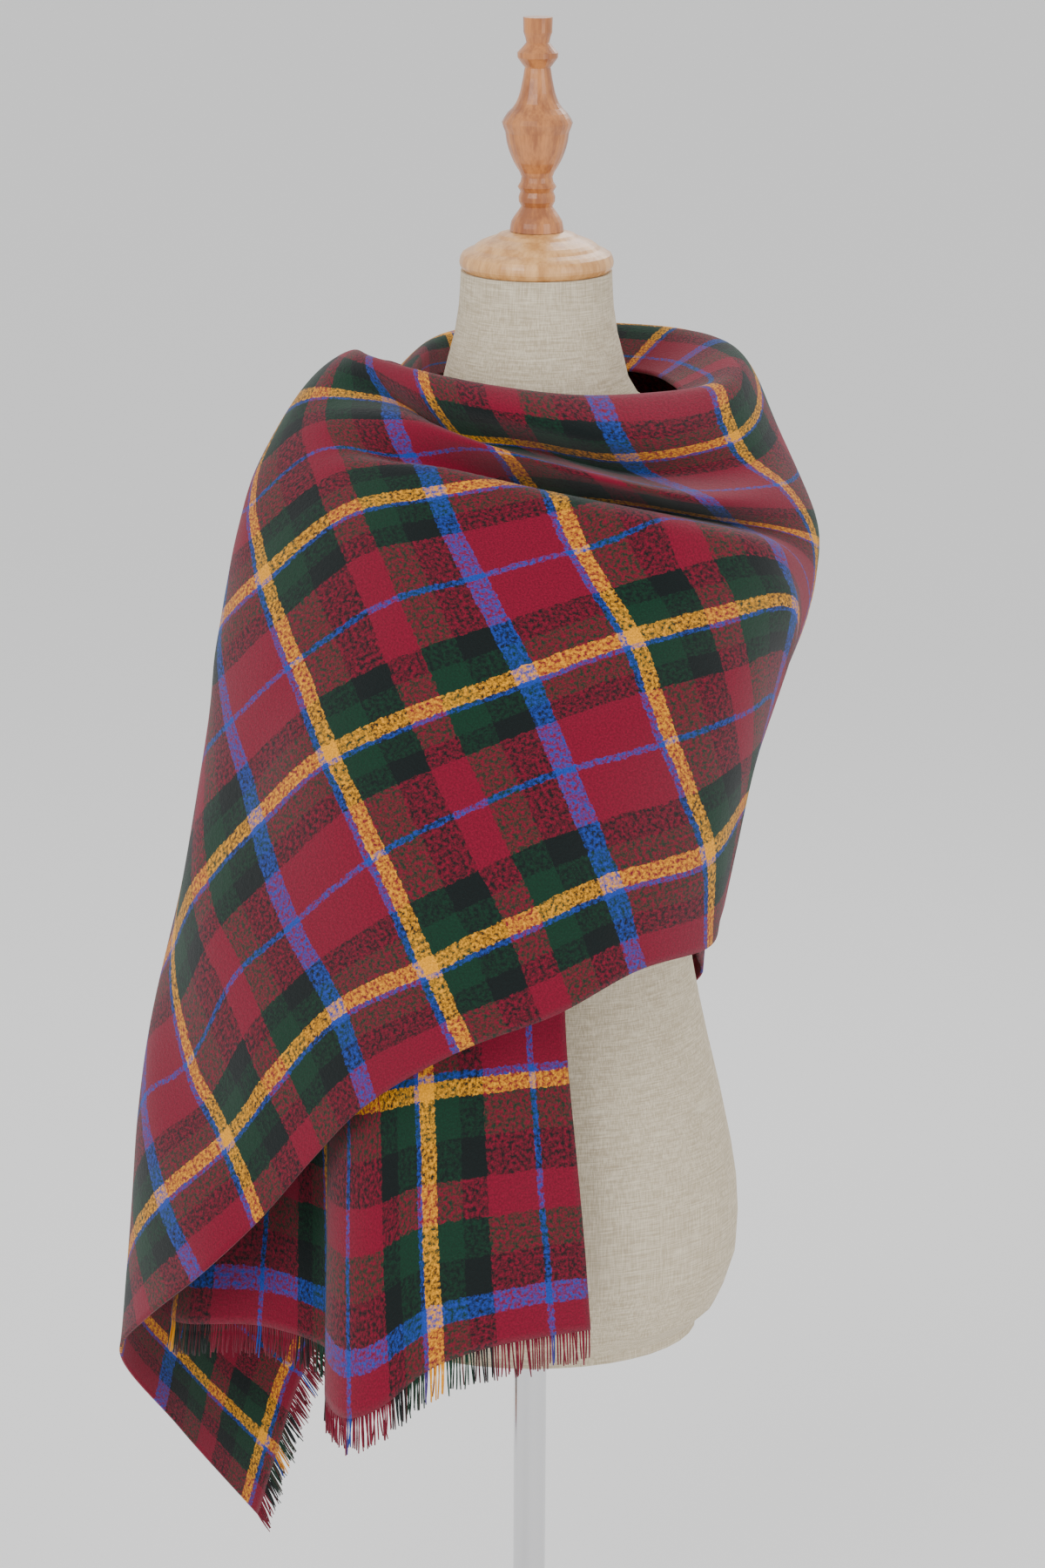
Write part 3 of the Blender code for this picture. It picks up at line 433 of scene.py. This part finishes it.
def scarf_points(alongs, acrosses):
    """Places in metres on the wound cloth, for distances in cm along and across it."""
    stations = sorted(SCARF_SECTIONS)
    sections = smooth_rows(stations, [SCARF_SECTIONS[s] for s in stations], alongs)
    columns = np.arange(len(SCARF_COLUMNS))
    fine = np.linspace(0, len(SCARF_COLUMNS) - 1, 12 * (len(SCARF_COLUMNS) - 1) + 1)
    points = np.empty((len(alongs), len(acrosses), 3))
    for row, section in enumerate(sections):
        line = smooth_rows(columns, section, fine)
        cloth = np.maximum.accumulate(line[:, 0])
        for axis in range(3):
            points[row, :, axis] = np.interp(acrosses, cloth, line[:, axis + 1])
    sunk = pleat_depths(np.asarray(alongs)[:, None], np.asarray(acrosses)[None, :])
    inward = points[:, :, :2] / np.linalg.norm(points[:, :, :2], axis=2, keepdims=True)
    points[:, :, :2] -= inward * sunk[:, :, None]
    return points * CM


def blur(points, passes):
    for _ in range(passes):
        inner = points[1:-1] * 0.5 + (points[:-2] + points[2:]) * 0.25
        points = np.concatenate((points[:1], inner, points[-1:]))
        inner = points[:, 1:-1] * 0.5 + (points[:, :-2] + points[:, 2:]) * 0.25
        points = np.concatenate((points[:, :1], inner, points[:, -1:]), axis=1)
    return points


def grid_normals(points):
    normals = np.cross(np.gradient(points, axis=0), np.gradient(points, axis=1))
    return normals / np.linalg.norm(normals, axis=2, keepdims=True)


def crease(along, across, start, end, width, depth):
    """A soft trough or ridge between two places on the flat cloth, all in cm."""
    run = np.array(end, float) - np.array(start, float)
    length = np.linalg.norm(run)
    t = ((along - start[0]) * run[0] + (across - start[1]) * run[1]) / length**2
    off = ((along - start[0]) * run[1] - (across - start[1]) * run[0]) / length
    fade = np.clip(1 - np.abs(2 * t - 1), 0, 1)
    return depth * CM * np.exp(-(off / width) ** 2) * np.sin(fade * math.pi / 2) ** 1.5


# Soft creases: (start, end) as (along, across), then width and depth, all in cm. A positive depth
# is a ridge.
CREASES = (
    ((143, 44), (176, 50), 1.6, 0.18),
    ((147, 50), (186, 60), 2.2, -0.22),
    ((150, 60), (176, 74), 2.4, 0.20),
    ((165, 36), (196, 44), 2.0, -0.16),
    ((176, 28), (206, 36), 2.2, 0.20),
    ((181, 40), (214, 56), 2.6, -0.22),
    ((188, 24), (222, 40), 2.4, 0.24),
    ((192, 60), (220, 74), 2.8, 0.20),
    ((200, 30), (244, 50), 2.6, -0.30),
    ((206, 16), (252, 32), 2.8, 0.34),
    ((212, 6), (256, 18), 3.0, -0.30),
    ((216, 56), (256, 64), 3.0, 0.30),
    ((96, 24), (128, 40), 2.6, 0.26),
    ((92, 40), (124, 56), 3.0, -0.28),
    ((100, 55), (134, 66), 3.0, 0.26),
    ((4, 6), (40, 5), 1.8, 0.10),
    ((4, 16), (44, 14), 2.0, -0.16),
    ((4, 35), (40, 37), 1.6, 0.30),
    ((4, 44), (40, 45), 1.8, -0.25),
)


def build_scarf(check):
    count = round((SCARF_END_CM - SCARF_START_CM) / GRID_STEP_CM)
    alongs = np.linspace(SCARF_START_CM, SCARF_END_CM, count + 1)
    acrosses = np.linspace(0.0, SCARF_WIDTH, round(SCARF_WIDTH / GRID_STEP_CM) + 1)
    middle = blur(scarf_points(alongs, acrosses), 2)
    normals = grid_normals(middle)
    flat_along, flat_across = np.meshgrid(alongs, acrosses, indexing="ij")
    lift = np.zeros(flat_along.shape)
    for start, end, width, depth in CREASES:
        lift += crease(flat_along, flat_across, start, end, width, depth)
    middle = middle + normals * lift[:, :, None]
    normals = grid_normals(middle)
    half = normals * CLOTH_THICKNESS / 2
    rows, columns = lift.shape
    under = rows * columns
    vertices = np.concatenate(((middle + half).reshape(-1, 3), (middle - half).reshape(-1, 3)))
    index = np.arange(under).reshape(rows, columns)
    quads = np.stack((index[:-1, :-1], index[1:, :-1], index[1:, 1:], index[:-1, 1:]), axis=-1)
    quads = quads.reshape(-1, 4)
    border = np.concatenate((index[:, 0], index[-1, 1:], index[-2::-1, -1], index[0, -2:0:-1]))
    onward = np.roll(border, -1)
    rim = np.stack((border, border + under, onward + under, onward), axis=-1)
    faces = np.concatenate((quads, quads[:, ::-1] + under, rim))
    mesh = bpy.data.meshes.new("scarf")
    mesh.from_pydata(vertices.tolist(), [], faces.tolist())
    layer = mesh.uv_layers.new(name="cloth")
    flat = np.stack((flat_across.ravel(), flat_along.ravel()), axis=-1) * CM
    flat = np.concatenate((flat, flat))
    loops = np.empty(len(mesh.loops), dtype=np.int32)
    mesh.loops.foreach_get("vertex_index", loops)
    layer.data.foreach_set("uv", flat[loops].astype(np.float32).ravel())
    work = bmesh.new()
    work.from_mesh(mesh)
    if work.calc_volume(signed=True) < 0:
        bmesh.ops.reverse_faces(work, faces=work.faces)
    work.to_mesh(mesh)
    work.free()
    mesh.shade_smooth()
    mesh.materials.append(wool_material("brushed_wool", check, 0.5))
    scarf = bpy.data.objects.new("scarf", mesh)
    bpy.context.collection.objects.link(scarf)
    return scarf, middle, alongs, acrosses


def build_fringe(name, edge, inner, acrosses, along, material, rng):
    """A row of loose warp yarns, each a thin four-sided strand that hangs from the cut end."""
    vertices, faces, places = [], [], []
    count = round(SCARF_WIDTH / FRINGE_SPACING_CM)
    outward = edge - inner
    outward /= np.linalg.norm(outward, axis=1, keepdims=True)
    for strand in range(count):
        across = (strand + 0.5 + rng.uniform(-0.3, 0.3)) * SCARF_WIDTH / count
        root = np.array([np.interp(across, acrosses, edge[:, k]) for k in range(3)])
        pull = np.array([np.interp(across, acrosses, outward[:, k]) for k in range(3)])
        pull = pull * 0.8 + np.array([0, 0, -0.35]) + rng.normal(0, 0.035, 3)
        pull /= np.linalg.norm(pull)
        length = FRINGE_LENGTH * rng.uniform(0.82, 1.0)
        bend = rng.normal(0, 0.0010, 3)
        side = np.cross(pull, (0.0, 1.0, 0.2))
        side /= np.linalg.norm(side)
        other = np.cross(pull, side)
        steps = 6
        for step in range(steps + 1):
            t = step / steps
            centre = root + pull * (length * t - 0.002) + bend * t * t
            radius = 0.00085 * (1 - 0.35 * t)
            for corner in range(4):
                angle = math.pi / 2 * corner + t * 2
                vertices.append(centre + radius * (math.cos(angle) * side
                                                   + math.sin(angle) * other))
                places.append((across * CM, along * CM))
            base = len(vertices) - 4
            if step:
                for corner in range(4):
                    following = (corner + 1) % 4
                    faces.append((base - 4 + corner, base - 4 + following, base + following,
                                  base + corner))
            else:
                faces.append((base + 3, base + 2, base + 1, base))
        faces.append((base, base + 1, base + 2, base + 3))
    mesh = bpy.data.meshes.new(name)
    mesh.from_pydata([tuple(v) for v in vertices], [], faces)
    layer = mesh.uv_layers.new(name="cloth")
    for loop in mesh.loops:
        layer.data[loop.index].uv = places[loop.vertex_index]
    work = bmesh.new()
    work.from_mesh(mesh)
    bmesh.ops.recalc_face_normals(work, faces=work.faces)
    work.to_mesh(mesh)
    work.free()
    mesh.shade_smooth()
    mesh.materials.append(material)
    fringe = bpy.data.objects.new(name, mesh)
    bpy.context.collection.objects.link(fringe)
    return fringe


# ---------------------------------------------------------------- studio


def build_studio():
    floor_mesh = bpy.data.meshes.new("studio_floor")
    corners = [(-1, -1), (1, -1), (1, 1), (-1, 1)]
    floor_mesh.from_pydata([(x * FLOOR_REACH, y * FLOOR_REACH, 0.0) for x, y in corners], [], [(0, 1, 2, 3)])
    floor = bpy.data.objects.new("studio_floor", floor_mesh)
    bpy.context.collection.objects.link(floor)
    material, _, shader = new_material("studio_white", 0.9)
    shader.inputs["Base Color"].default_value = (0.9, 0.9, 0.9, 1.0)
    floor_mesh.materials.append(material)
    world = bpy.data.worlds.new("studio")
    bpy.context.scene.world = world
    world.use_nodes = True
    world.node_tree.nodes["Background"].inputs["Color"].default_value = (1.0, 1.0, 1.0, 1.0)
    world.node_tree.nodes["Background"].inputs["Strength"].default_value = 1.0
    for name, place, size, power in (
        ("key_light", (-1.6, -2.6, 2.9), 1.6, 55.0),
        ("fill_light", (2.4, -2.2, 1.9), 2.0, 28.0),
        ("back_light", (0.6, 1.7, 2.6), 1.4, 22.0),
    ):
        lamp = bpy.data.lights.new(name, "AREA")
        lamp.size = size
        lamp.energy = power
        holder = bpy.data.objects.new(name, lamp)
        holder.location = place
        aim = Vector((0.0, 0.0, 1.0)) - Vector(place)
        holder.rotation_euler = aim.to_track_quat("-Z", "Y").to_euler()
        bpy.context.collection.objects.link(holder)


def build_camera():
    camera_data = bpy.data.cameras.new("camera")
    camera_data.sensor_fit = "VERTICAL"
    camera_data.sensor_height = 36.0
    camera_data.lens = 76.8
    camera_data.shift_x = -0.0111
    camera = bpy.data.objects.new("camera", camera_data)
    camera.location = (0.0, -2.4, 1.80)
    camera.rotation_euler = (math.radians(90 - 18.2), math.radians(-0.35), 0.0)
    bpy.context.collection.objects.link(camera)
    bpy.context.scene.camera = camera


def dress_form(linen, steel):
    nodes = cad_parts
    finishes = {
        "torso": linen,
        "base_plate": steel,
        "pole_boss": steel,
        "pole": steel,
        "neck_cap": wood_material("pale_turned_wood", (0.80, 0.44, 0.165), (0.55, 0.25, 0.07), 0.35),
        "finial": wood_material("warm_turned_wood", (0.56, 0.21, 0.055), (0.30, 0.09, 0.022), 0.45),
    }
    for name, material in finishes.items():
        piece = nodes[name]
        piece = piece if isinstance(piece, bpy.types.Object) else bpy.data.objects[name]
        piece.data.materials.clear()
        piece.data.materials.append(material)


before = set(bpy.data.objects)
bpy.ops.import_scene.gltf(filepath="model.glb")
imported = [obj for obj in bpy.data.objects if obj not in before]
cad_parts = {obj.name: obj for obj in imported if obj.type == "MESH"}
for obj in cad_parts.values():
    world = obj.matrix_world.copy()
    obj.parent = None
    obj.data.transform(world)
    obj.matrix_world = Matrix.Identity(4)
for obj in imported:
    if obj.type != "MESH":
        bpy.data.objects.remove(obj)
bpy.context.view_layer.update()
check_group = wool_check_group()
dress_form(linen_material(), steel_material())
scarf_piece, cloth_middle, cloth_alongs, cloth_acrosses = build_scarf(check_group)
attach(scarf_piece, "root")
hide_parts("hanging_end", "collar_and_back", "front_cross", "thrown_end")
yarn_material = wool_material("loose_warp_yarn", check_group, 0.0)
draws = np.random.default_rng(7)
for fringe_name, node, first, second, place in (
    ("front_fringe_yarns", "fringe_front", 0, 1, SCARF_START_CM),
    ("tail_fringe_yarns", "fringe_tail", -1, -2, SCARF_END_CM),
):
    yarns = build_fringe(fringe_name, cloth_middle[first], cloth_middle[second], cloth_acrosses,
                         place, yarn_material, draws)
    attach(yarns, "root")
    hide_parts(node)
build_studio()
build_camera()
